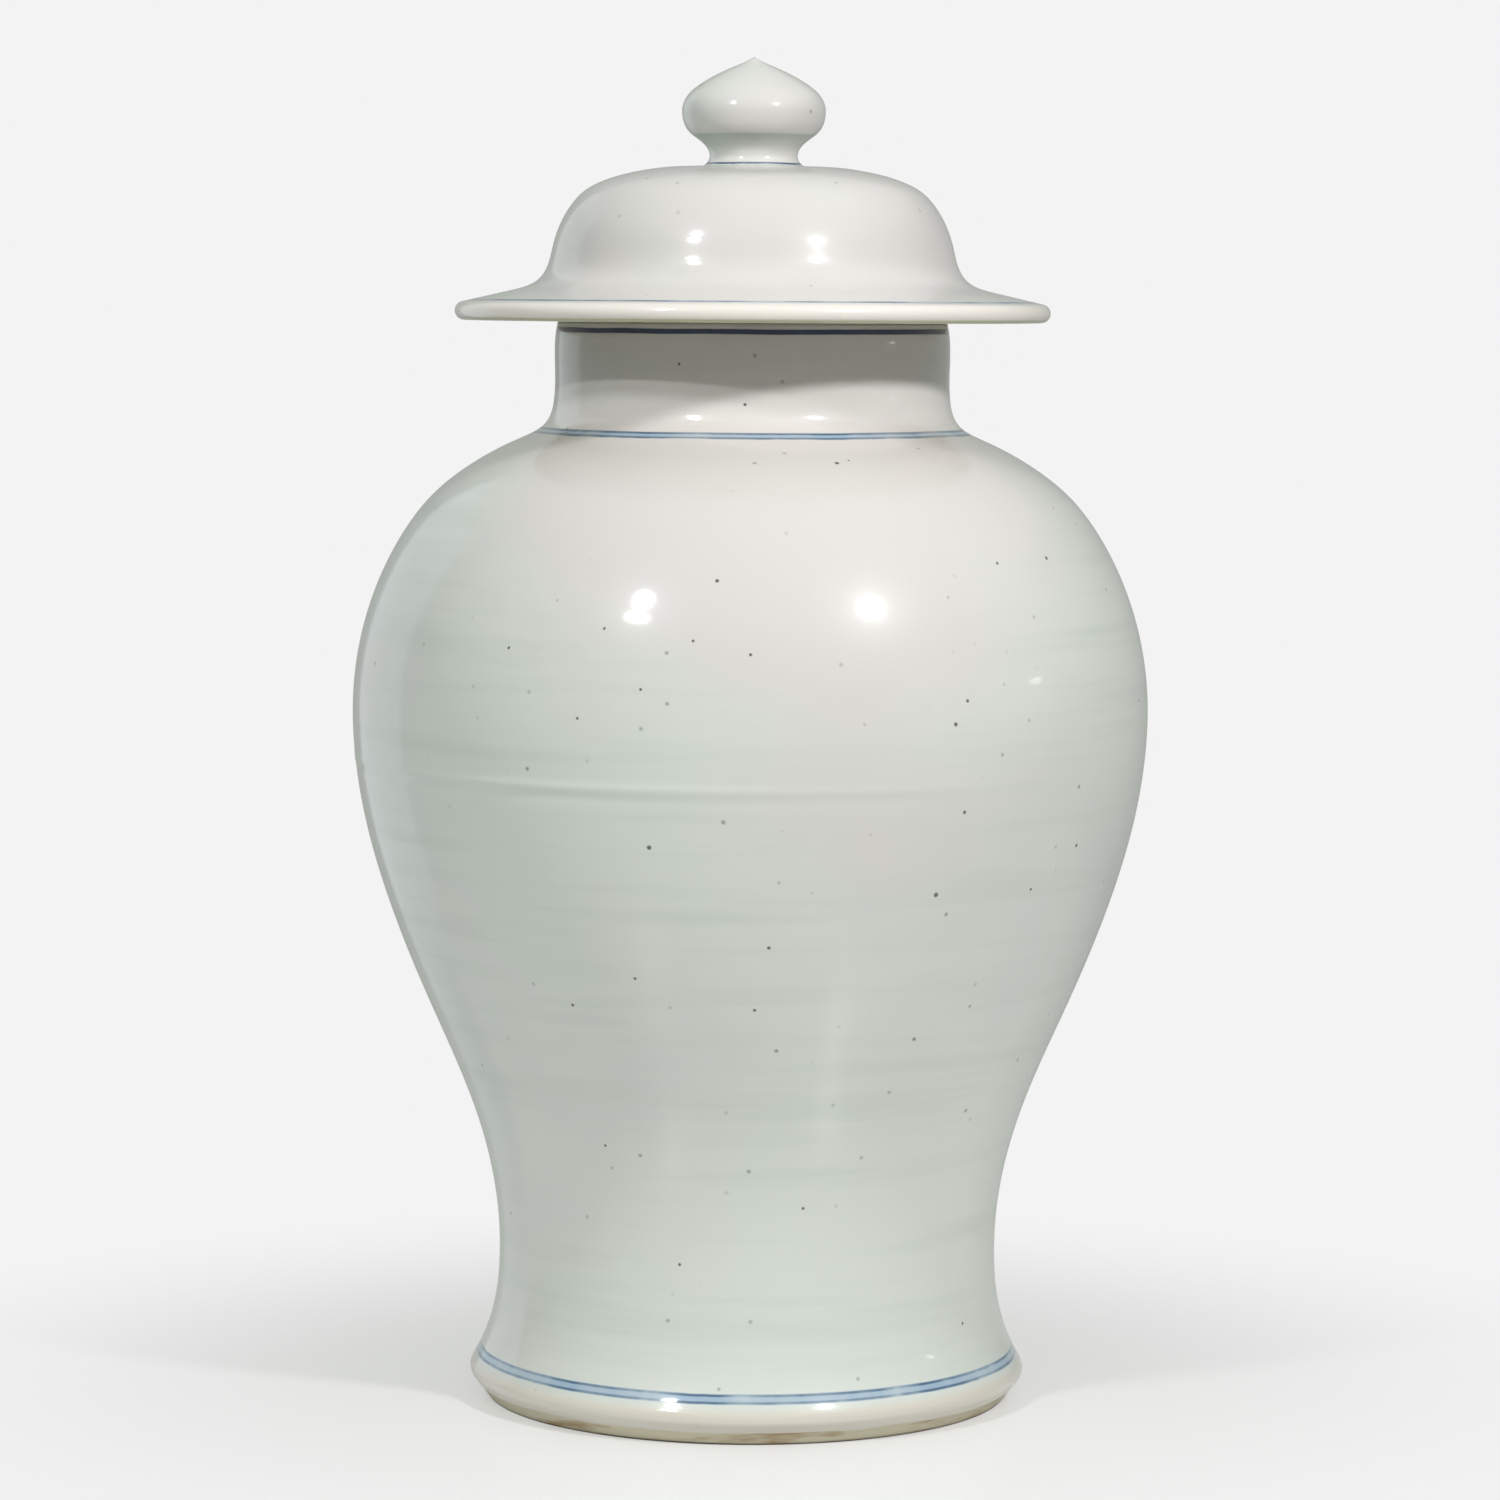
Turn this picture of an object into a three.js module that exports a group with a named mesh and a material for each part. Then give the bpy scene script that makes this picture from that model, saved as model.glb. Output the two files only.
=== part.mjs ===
// A covered porcelain jar of baluster shape, a potiche, with a domed and brimmed cover.
// The potter throws it in sections, turns each on the wheel and lutes them together with slip
// before firing, so every section here is its own solid and meets the next on a flat joint.
// Millimetres, +Z up. The origin is the centre of the circle that the foot stands on.

import * as THREE from "three";

// Outline of the jar, from the floor up. Each station has the rise to it from the station below,
// and a radius or a reach, which is how far it stands out beyond a neighbour. A heading is the
// outline's direction there, in degrees: 90 goes straight up, less leans outwards and more inwards.
const footRadius = 109.5;
const glazeEdgeReach = 4.7;
const glazeEdgeRise = 6.5;
const glazeEdgeHeading = 54;
const bulgeReach = 2.1;
const bulgeRise = 4;
const waistRadius = 104.5;
const waistRise = 50.5;
const flankRadius = 141.3;
const flankRise = 122.5;
const flankHeading = 68;
const bellyRadius = 166.2;
const bellyRise = 105.5;
const shoulderRadius = 139.4;
const shoulderRise = 82;
const shoulderHeading = 127.5;
const rootReach = 26.4;
const rootRise = 25;
const rootHeading = 151;
const neckReach = 0.7;
const neckRise = 31.5;
const lipRadius = 81.5;
const lipRise = 23;

// Walls, floor and foot of the jar, and where its sections are luted together.
const jarWall = 8;
const footRingWidth = 12;
const footRingBevel = 1.5;
const recessDepth = 12;
const baseThickness = 13;
const bodySeamDrop = 34;
const neckSeamRise = 6;
const lipRound = 2.2;

// The cover: a flat-bottomed brim, a dome on it and a collar under it that drops into the mouth.
// The brim and the dome's side stand out beyond the lip that they cover.
const coverSeatGap = 0.3;
const brimOverhang = 42.5;
const brimEdgeRound = 3.9;
const brimSlope = 13;
const brimFlangeThickness = 8;
const domeRootReach = 19.8;
const domeSideReach = 2.3;
const domeSideRise = 28.8;
const domeSideHeading = 101.5;
const domeShoulderInset = 12.2;
const domeShoulderRise = 23.7;
const domeShoulderHeading = 136.5;
const domeCrownRise = 11.7;
const coverWall = 7;
const collarClearance = 2.6;
const collarWall = 6;
const collarDepth = 22;
const collarBevel = 1.2;

// The knob: a flared stem under a pointed bud, turned solid and luted to the crown.
const stemRadius = 18.3;
const stemFlare = 3.5;
const stemRise = 4.1;
const budFlankReach = 6.5;
const budFlankRise = 8.1;
const budFlankHeading = 34.5;
const budReach = 5.1;
const budRise = 11.2;
const tipRise = 21.6;
const tipHeading = 136;

// How far each curve's two handles reach, as shares of the distance between its stations.
const jarHandleShares = [
  [0.35, 0.35],
  [0.12, 0.66],
  [0.39, 0.34],
  [0.27, 0.38],
  [0.45, 0.2],
  [0.18, 0.54],
  [0.57, 0.61],
];
const domeHandleShares = [
  [0.47, 0.53],
  [0.38, 0.3],
  [0.17, 0.5],
];
const knobHandleShares = [
  [0.33, 0.29],
  [0.34, 0.37],
  [0.36, 0.44],
  [0.31, 0.1],
];

// Facets round the axis, and steps along each curve of a shown outline, of a hidden one and of
// the rounded edges of lip and brim.
const turnFacets = 48;
const shownSteps = 6;
const hiddenSteps = 3;
const lipEdgeSteps = 2;
const brimEdgeSteps = 4;

// Places worked out from the sizes above.
const glazeEdgeRadius = footRadius + glazeEdgeReach;
const bulgeRadius = glazeEdgeRadius + bulgeReach;
const neckRadius = lipRadius + neckReach;
const rootRadius = neckRadius + rootReach;
const bulgeHeight = glazeEdgeRise + bulgeRise;
const waistHeight = bulgeHeight + waistRise;
const flankHeight = waistHeight + flankRise;
const bellyHeight = flankHeight + bellyRise;
const shoulderHeight = bellyHeight + shoulderRise;
const rootHeight = shoulderHeight + rootRise;
const neckHeight = rootHeight + neckRise;
const lipHeight = neckHeight + lipRise;
const floorHeight = recessDepth + baseThickness;
const bodySeamHeight = bellyHeight - bodySeamDrop;
const neckSeamHeight = rootHeight + neckSeamRise;
const collarRadius = lipRadius - jarWall - collarClearance;
const coverMouthRadius = collarRadius - collarWall;
const brimRadius = lipRadius + brimOverhang;
const domeSideRadius = lipRadius + domeSideReach;
const domeRootRadius = domeSideRadius + domeRootReach;
const domeShoulderRadius = domeSideRadius - domeShoulderInset;
const domeShoulderHeight = domeSideRise + domeShoulderRise;
const crownHeight = domeShoulderHeight + domeCrownRise;
const knobFootRadius = stemRadius + stemFlare;
const budFlankRadius = stemRadius + budFlankReach;
const budRadius = budFlankRadius + budReach;

const glaze = new THREE.MeshStandardMaterial({ color: 0xdcddd6, roughness: 0.12, metalness: 0 });
const biscuit = new THREE.MeshStandardMaterial({ color: 0xcabfac, roughness: 0.85, metalness: 0 });

// A place on an outline, with the direction that the outline has there.
function station(radius, height, heading = 90) {
  const angle = THREE.MathUtils.degToRad(heading);
  return {
    place: new THREE.Vector2(radius, height),
    way: new THREE.Vector2(Math.cos(angle), Math.sin(angle)),
  };
}

// Adds one curve to the path for each pair of neighbouring stations.
function addCurves(path, stations, handleShares) {
  handleShares.forEach(([leaveShare, arriveShare], i) => {
    const from = stations[i];
    const to = stations[i + 1];
    const reach = from.place.distanceTo(to.place);
    const leave = from.place.clone().addScaledVector(from.way, reach * leaveShare);
    const arrive = to.place.clone().addScaledVector(to.way, -reach * arriveShare);
    path.bezierCurveTo(leave.x, leave.y, arrive.x, arrive.y, to.place.x, to.place.y);
  });
}

// The same line moved inwards, square to itself, by the thickness of the wall.
function inset(points, wall) {
  return points.map((point, i) => {
    const before = points[Math.max(i - 1, 0)];
    const after = points[Math.min(i + 1, points.length - 1)];
    const way = after.clone().sub(before).normalize();
    return new THREE.Vector2(point.x - way.y * wall, point.y + way.x * wall);
  });
}

// The point where a line that climbs first reaches a height.
function pointAtHeight(points, height) {
  const above = points.findIndex((point) => point.y >= height);
  if (above < 1) return points.at(above);
  const share = (height - points[above - 1].y) / (points[above].y - points[above - 1].y);
  const point = points[above - 1].clone().lerp(points[above], share);
  return point.setY(height);
}

// The stretch of a climbing line between two heights.
function stretch(points, low, high) {
  const between = points.filter((point) => point.y > low && point.y < high);
  return [pointAtHeight(points, low), ...between, pointAtHeight(points, high)];
}

// A quarter turn of rounded edge, from one angle in degrees to another.
function roundedEdge(radius, height, round, startAngle, endAngle, steps) {
  const edge = new THREE.Path();
  const start = THREE.MathUtils.degToRad(startAngle);
  const end = THREE.MathUtils.degToRad(endAngle);
  edge.absarc(radius, height, round, start, end, false);
  return edge.getPoints(steps);
}

// A named solid turned round the axis from its profile of radius and height.
function turned(name, profile, material) {
  const geometry = new THREE.LatheGeometry(profile, turnFacets);
  geometry.rotateX(Math.PI / 2);
  const mesh = new THREE.Mesh(geometry, material);
  mesh.name = name;
  return mesh;
}

// A ring's closed profile: up its outside, down its inside and back to the start.
function ringProfile(outside, inside) {
  return [...outside, ...inside.toReversed(), outside[0].clone()];
}

function jarOutline(steps) {
  const stations = [
    station(glazeEdgeRadius, glazeEdgeRise, glazeEdgeHeading),
    station(bulgeRadius, bulgeHeight),
    station(waistRadius, waistHeight),
    station(flankRadius, flankHeight, flankHeading),
    station(bellyRadius, bellyHeight),
    station(shoulderRadius, shoulderHeight, shoulderHeading),
    station(rootRadius, rootHeight, rootHeading),
    station(neckRadius, neckHeight),
  ];
  const path = new THREE.Path();
  path.moveTo(footRadius, 0);
  path.lineTo(glazeEdgeRadius, glazeEdgeRise);
  addCurves(path, stations, jarHandleShares);
  path.lineTo(lipRadius, lipHeight);
  return path.getPoints(steps);
}

// The foot ring stands on a flat unglazed edge and is hollow inside, as turned on the wheel.
function makeFootRing(outside) {
  const innerRadius = footRadius - footRingWidth;
  const inside = [
    new THREE.Vector2(innerRadius, 0),
    new THREE.Vector2(innerRadius - footRingBevel, footRingBevel),
    new THREE.Vector2(innerRadius - footRingBevel, recessDepth),
  ];
  return turned("foot_ring", ringProfile(stretch(outside, 0, recessDepth), inside), biscuit);
}

// The base is a slab across the whole foot, and its upper face is the floor of the jar.
function makeBase(outside) {
  const profile = [
    new THREE.Vector2(0, recessDepth),
    ...stretch(outside, recessDepth, floorHeight),
    new THREE.Vector2(0, floorHeight),
  ];
  return turned("base", profile, glaze);
}

function makeBodySection(name, outside, inside, low, high) {
  const profile = ringProfile(stretch(outside, low, high), stretch(inside, low, high));
  return turned(name, profile, glaze);
}

// The neck ends in a lip that is rounded on both edges and flat between, where the cover sits.
function makeNeck(outside, inside) {
  const edgeHeight = lipHeight - lipRound;
  const outer = stretch(outside, neckSeamHeight, edgeHeight);
  const inner = stretch(inside, neckSeamHeight, edgeHeight);
  const outerEdgeRadius = outer.at(-1).x - lipRound;
  const innerEdgeRadius = inner.at(-1).x + lipRound;
  const outerEdge = roundedEdge(outerEdgeRadius, edgeHeight, lipRound, 0, 90, lipEdgeSteps);
  const innerEdge = roundedEdge(innerEdgeRadius, edgeHeight, lipRound, 90, 180, lipEdgeSteps);
  const profile = ringProfile(
    [...outer, ...outerEdge.slice(1)],
    [...inner, ...innerEdge.toReversed().slice(1)],
  );
  return turned("neck", profile, glaze);
}

function makeJar() {
  const outside = jarOutline(shownSteps);
  const inside = inset(jarOutline(hiddenSteps), jarWall);
  const jar = new THREE.Group();
  jar.add(
    makeFootRing(outside),
    makeBase(outside),
    makeBodySection("lower_body", outside, inside, floorHeight, bodySeamHeight),
    makeBodySection("upper_body", outside, inside, bodySeamHeight, neckSeamHeight),
    makeNeck(outside, inside),
  );
  return jar;
}

// The dome's outline from the brim's edge up to the crown. Heights are above the brim's underside.
function domeStations() {
  const slope = THREE.MathUtils.degToRad(brimSlope);
  const edgeRadius = brimRadius - brimEdgeRound + brimEdgeRound * Math.sin(slope);
  const edgeHeight = brimEdgeRound + brimEdgeRound * Math.cos(slope);
  const domeRootHeight = edgeHeight + (edgeRadius - domeRootRadius) * Math.tan(slope);
  return [
    station(domeRootRadius, domeRootHeight, 180 - brimSlope),
    station(domeSideRadius, domeSideRise, domeSideHeading),
    station(domeShoulderRadius, domeShoulderHeight, domeShoulderHeading),
    station(knobFootRadius, crownHeight, 180),
  ];
}

function domeCurve(steps) {
  const stations = domeStations();
  const path = new THREE.Path();
  path.moveTo(stations[0].place.x, stations[0].place.y);
  addCurves(path, stations, domeHandleShares);
  return path.getPoints(steps);
}

// Dome and brim are one thrown piece, with a flat flange inside that carries the collar.
function makeDome() {
  const brimEdge = roundedEdge(
    brimRadius - brimEdgeRound, brimEdgeRound, brimEdgeRound, -90, 90 - brimSlope, brimEdgeSteps,
  );
  const outside = [...brimEdge, ...domeCurve(shownSteps)];
  const hollow = inset(domeCurve(hiddenSteps), coverWall);
  const crownUnderside = hollow.at(-1).y;
  const profile = [
    new THREE.Vector2(0, crownUnderside),
    ...stretch(hollow, brimFlangeThickness, crownUnderside).toReversed(),
    new THREE.Vector2(coverMouthRadius, brimFlangeThickness),
    new THREE.Vector2(coverMouthRadius, 0),
    ...outside,
    new THREE.Vector2(0, crownHeight),
  ];
  return turned("cover_dome", profile, glaze);
}

// The collar keeps the cover centred: it hangs from the flange into the mouth of the jar.
function makeCollar() {
  const profile = [
    new THREE.Vector2(coverMouthRadius, 0),
    new THREE.Vector2(coverMouthRadius, collarBevel - collarDepth),
    new THREE.Vector2(coverMouthRadius + collarBevel, -collarDepth),
    new THREE.Vector2(collarRadius - collarBevel, -collarDepth),
    new THREE.Vector2(collarRadius, collarBevel - collarDepth),
    new THREE.Vector2(collarRadius, 0),
    new THREE.Vector2(coverMouthRadius, 0),
  ];
  return turned("cover_collar", profile, biscuit);
}

function makeKnob() {
  const stemHeight = crownHeight + stemRise;
  const budFlankHeight = stemHeight + budFlankRise;
  const budHeight = budFlankHeight + budRise;
  const tipHeight = budHeight + tipRise;
  const stations = [
    station(knobFootRadius, crownHeight, 180),
    station(stemRadius, stemHeight),
    station(budFlankRadius, budFlankHeight, budFlankHeading),
    station(budRadius, budHeight),
    station(0, tipHeight, tipHeading),
  ];
  const outside = new THREE.Path();
  outside.moveTo(0, crownHeight);
  outside.lineTo(knobFootRadius, crownHeight);
  addCurves(outside, stations, knobHandleShares);
  return turned("cover_knob", outside.getPoints(shownSteps), glaze);
}

function makeCover() {
  const cover = new THREE.Group();
  cover.position.z = lipHeight + coverSeatGap;
  cover.add(makeDome(), makeCollar(), makeKnob());
  return cover;
}

const potiche = new THREE.Group();
potiche.add(makeJar(), makeCover());

export default potiche;
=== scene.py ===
"""A covered porcelain potiche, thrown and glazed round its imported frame, in a plain pale studio.

Metres, +Z up. Every piece takes its outline from the rings of the solid that it dresses."""

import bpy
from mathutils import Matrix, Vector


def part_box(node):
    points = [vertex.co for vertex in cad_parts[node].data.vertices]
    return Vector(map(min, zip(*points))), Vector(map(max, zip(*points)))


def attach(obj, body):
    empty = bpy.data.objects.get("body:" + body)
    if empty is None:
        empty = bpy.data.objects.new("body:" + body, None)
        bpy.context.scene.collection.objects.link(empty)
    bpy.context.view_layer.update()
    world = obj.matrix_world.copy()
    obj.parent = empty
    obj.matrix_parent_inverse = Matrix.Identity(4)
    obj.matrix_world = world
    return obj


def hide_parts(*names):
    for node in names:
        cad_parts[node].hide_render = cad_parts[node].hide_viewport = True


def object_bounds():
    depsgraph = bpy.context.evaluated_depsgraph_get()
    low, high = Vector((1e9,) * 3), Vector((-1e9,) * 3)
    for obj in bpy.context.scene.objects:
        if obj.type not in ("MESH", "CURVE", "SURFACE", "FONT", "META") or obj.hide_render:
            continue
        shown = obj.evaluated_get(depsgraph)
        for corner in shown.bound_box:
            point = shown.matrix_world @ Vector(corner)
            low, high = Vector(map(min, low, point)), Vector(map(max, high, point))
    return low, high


bl_info = {
    "name": "Porcelain potiche",
    "version": (1, 0, 0),
    "blender": (4, 5, 0),
    "location": "View3D > Sidebar > Potiche",
    "description": "Dresses the frame of a covered baluster jar in glazed porcelain",
    "category": "Add Mesh",
}

import math

import bmesh
import bpy
import numpy as np
from bpy.props import FloatProperty, FloatVectorProperty, IntProperty, PointerProperty
from mathutils import Euler, Matrix, Vector, noise

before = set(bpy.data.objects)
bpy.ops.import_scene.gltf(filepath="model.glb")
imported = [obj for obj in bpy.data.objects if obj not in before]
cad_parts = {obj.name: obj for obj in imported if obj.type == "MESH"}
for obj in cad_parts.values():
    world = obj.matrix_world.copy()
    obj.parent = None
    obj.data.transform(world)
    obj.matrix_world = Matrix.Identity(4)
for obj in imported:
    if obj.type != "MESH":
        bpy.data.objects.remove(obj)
CAD_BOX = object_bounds()

MM = 0.001

# Points closer than this are one, and the rings' sizes are compared to this many digits.
MERGE = 0.01 * MM
RING_DIGITS = 6

# How squarely a face looks along an axis before it faces that way at all, and before it is level.
FACING_SHARE, LEVEL_SHARE = 0.001, 0.9

# The luting trace, in its own half widths: how far its finer facets reach, and how far under the
# ridge the hollow lies. Then the hollow's depth against the ridge's height.
LUTING_REACH_SHARE, HOLLOW_DROP_SHARE, HOLLOW_DEPTH_SHARE = 3, 2, 0.5

# The sockets of a Mix node that is set to colours.
MIX_SHARE, MIX_FROM, MIX_TO, MIXED = 0, 6, 7, 2

# Octaves of noise: a plain swell, soft clouds, and streaks or grain. Then what each octave keeps
# of the height of the one before.
SWELL, CLOUDS, GRAIN = 1.0, 2.0, 3.0
OCTAVE_SHARE = 0.55

# The height of the noise where a finish starts to show, and where it shows in full.
BRUSH_SHARES = (0.35, 0.6)
COOL_SHARES = (0.35, 0.65)
STREAK_SHARES = (0.48, 0.75)
OCHRE_SHARES = (0.52, 0.7)

# How much of what is under it a finish hides where it shows in full.
PEACH_SHARE = 0.8
STREAK_SHARE = 0.6
SPECK_SHARE = 0.85
FLECK_SHARE = 0.7
OCHRE_SHARE = 0.75
BOTTOM_DARK_SHARE = 0.85

# Where the edge of a speck or a fleck is gone and where it is full, from the middle, against the
# width. Then how many of the cells that may hold a fleck hold one.
SPECK_EDGE_SHARES = (1 / 1.6, 1 / 3)
FLECK_EDGE_SHARES = (1 / 2, 1 / 6)
FLECKED_CELLS_SHARE = 0.35

# What the clouds in the glaze lose at its thin place, where the warm light is painted, and gain far
# from it, and what is left of the wash under a painted line where the brush ran dry.
THINNING_SHARES = (-0.2, 0.16)
DRY_WASH_SHARE = 0.5

# Typical indices of refraction, how much the body mirrors under the gloss, and how strongly the
# grain of bare clay stands out.
GLAZE_IOR, CLAY_IOR, PAPER_IOR = 1.5, 1.5, 1.45
BODY_MIRROR_SHARE = 0.12
GRAIN_SHARE = 0.6

# The painted lines: the height of the middle, or its radius on the brim, the gap between the two
# strokes, the width of a stroke and the width of the wash under them, all in millimetres, then
# the ink and the share of it that is left where the brush ran dry.
PAINTED_LINES = {
    "foot": (19.3, 2.7, 0.9, 4.0, "cobalt", 0.2),
    "root": (405.5, 1.7, 0.8, 2.1, "cobalt", 0.5),
    "lip": (447.1, 0, 2.1, 0.4, "navy", 1.0),
    "brim": (117.6, 0, 2.0, 3.2, "navy", 0.25),
    "knob": (515.9, 0, 0.75, 0.8, "navy", 0.6),
}

# Where the specks of burnt iron sit on the jar: bearing in degrees to the right of the front,
# height and width in millimetres.
IRON_SPECKS = (
    (-14, 247, 1.9),
    (28, 227, 2.0),
    (-5, 351, 1.6),
    (29, 295, 1.7),
    (31, 304, 1.4),
    (18, 395.5, 1.9),
    (21, 396.5, 1.0),
    (-21, 434, 1.2),
    (-2, 418, 1.3),
    (53, 357.5, 1.7),
    (41, 356.5, 1.3),
    (31, 260, 1.5),
    (55, 242, 1.6),
    (46, 226, 1.3),
    (3, 207, 1.5),
    (1, 181, 1.4),
    (-18, 193, 1.3),
    (-30, 180, 1.4),
    (-30, 120, 1.2),
    (12, 96, 1.3),
    (-15, 72, 1.3),
    (57, 40, 1.3),
    (-21, 332, 1.2),
    (-8, 328, 1.2),
    (0, 323, 1.3),
    (-15, 309, 1.2),
    (-24, 297, 1.2),
    (-36, 323, 1.3),
    (74, 297, 1.4),
)


def from_hex(code):
    """The linear colour that a screen shows for an sRGB hex value."""
    shares = [int(code[i:i + 2], 16) / 255 for i in (0, 2, 4)]
    linear = [s / 12.92 if s <= 0.04045 else ((s + 0.055) / 1.055) ** 2.4 for s in shares]
    return (*linear, 1.0)


def colour(name, description, code):
    return FloatVectorProperty(
        name=name, description=description, subtype="COLOR", size=4, min=0, max=1,
        default=from_hex(code),
    )


def length(name, description, default):
    return FloatProperty(
        name=name, description=description, unit="LENGTH", default=default, min=0, precision=5,
    )


def angle(name, description, degrees):
    return FloatProperty(
        name=name, description=description, subtype="ANGLE", default=math.radians(degrees),
    )


def share(name, description, default, most=1.0):
    return FloatProperty(name=name, description=description, default=default, min=0, max=most)


class PotterySizes(bpy.types.PropertyGroup):
    turn_steps: IntProperty(
        name="Steps round", description="Facets round the axis", default=144, min=48,
    )
    edge_segments: IntProperty(
        name="Edge segments", description="Facets across a rounded edge", default=6, min=2,
    )
    corner_angle: angle("Corner angle", "Corners that turn by less than this are smooth", 40)
    outline_step: length("Outline step", "Length of a facet along the outline", 2 * MM)
    seam_hold: length("Seam hold", "Depth of the narrow facet that keeps a seam smooth", 0.05 * MM)
    jar_wall: length("Jar wall", "Thickness of the jar's wall", 8 * MM)
    cover_wall: length("Cover wall", "Thickness of the dome's wall", 7 * MM)
    lip_round: length("Lip round", "Radius of the lip's two edges", 1.2 * MM)
    brim_round: length("Brim round", "Radius of the brim's edge", 3.9 * MM)
    brim_slope: angle("Brim slope", "Slope of the brim's upper face", 13)
    bud_crease: length("Bud crease", "Height of the crease under the knob's bud", 527.2 * MM)
    flange: length("Flange", "Thickness of the flange that carries the collar", 8 * MM)
    foot_width: length("Foot width", "Width of the ring that the jar stands on", 12 * MM)
    foot_bevel: length("Foot bevel", "Bevel inside the foot ring", 1.5 * MM)
    worn_edge: length("Worn edge", "Radius that wear gives an unglazed edge", 0.8 * MM)
    glaze_edge: length("Glaze edge", "Height at which the glaze stops above the foot", 5.6 * MM)
    glaze_depth: length("Glaze depth", "Thickness of the glaze where it stops", 0.35 * MM)
    glaze_roll: length("Glaze roll", "Swelling of the glaze that gathered over its edge", 0.6 * MM)
    roll_height: length("Roll height", "Height of the middle of that swelling", 12.5 * MM)
    roll_width: length("Roll width", "Half the width of that swelling", 3.5 * MM)
    glaze_wander: length("Glaze wander", "How far the glaze's edge strays up and down", 0.9 * MM)
    wander_reach: length("Wander reach", "How far from the edge the straying is felt", 4 * MM)
    wander_length: length("Wander length", "Length of a wave of the glaze's edge", 24 * MM)
    luting_height: length("Luting height", "Height of the trace that luting left", 269.5 * MM)
    luting_depth: length("Luting depth", "How far that trace stands out", 0.5 * MM)
    luting_width: length("Luting width", "Half the width of that trace", 2.1 * MM)
    luting_step: length("Luting step", "Length of a facet across that trace", 0.7 * MM)
    luting_bearing: angle("Luting bearing", "Where round the jar it stands out most", -30)
    luting_focus: share("Luting focus", "How fast it fades to both sides of there", 5, 20)
    collar_wall: length("Collar wall", "Thickness of the cover's collar", 6 * MM)
    collar_round: length("Collar round", "Radius of the collar's lower edges", 1.2 * MM)
    hand_press: length("Hand press", "Depth that the potter's hand leaves in the wall", 0.12 * MM)
    hand_reach: length("Hand reach", "Length of such a hollow round the pot", 150 * MM)
    hand_rise: length("Hand rise", "Height of such a hollow", 30 * MM)


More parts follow.
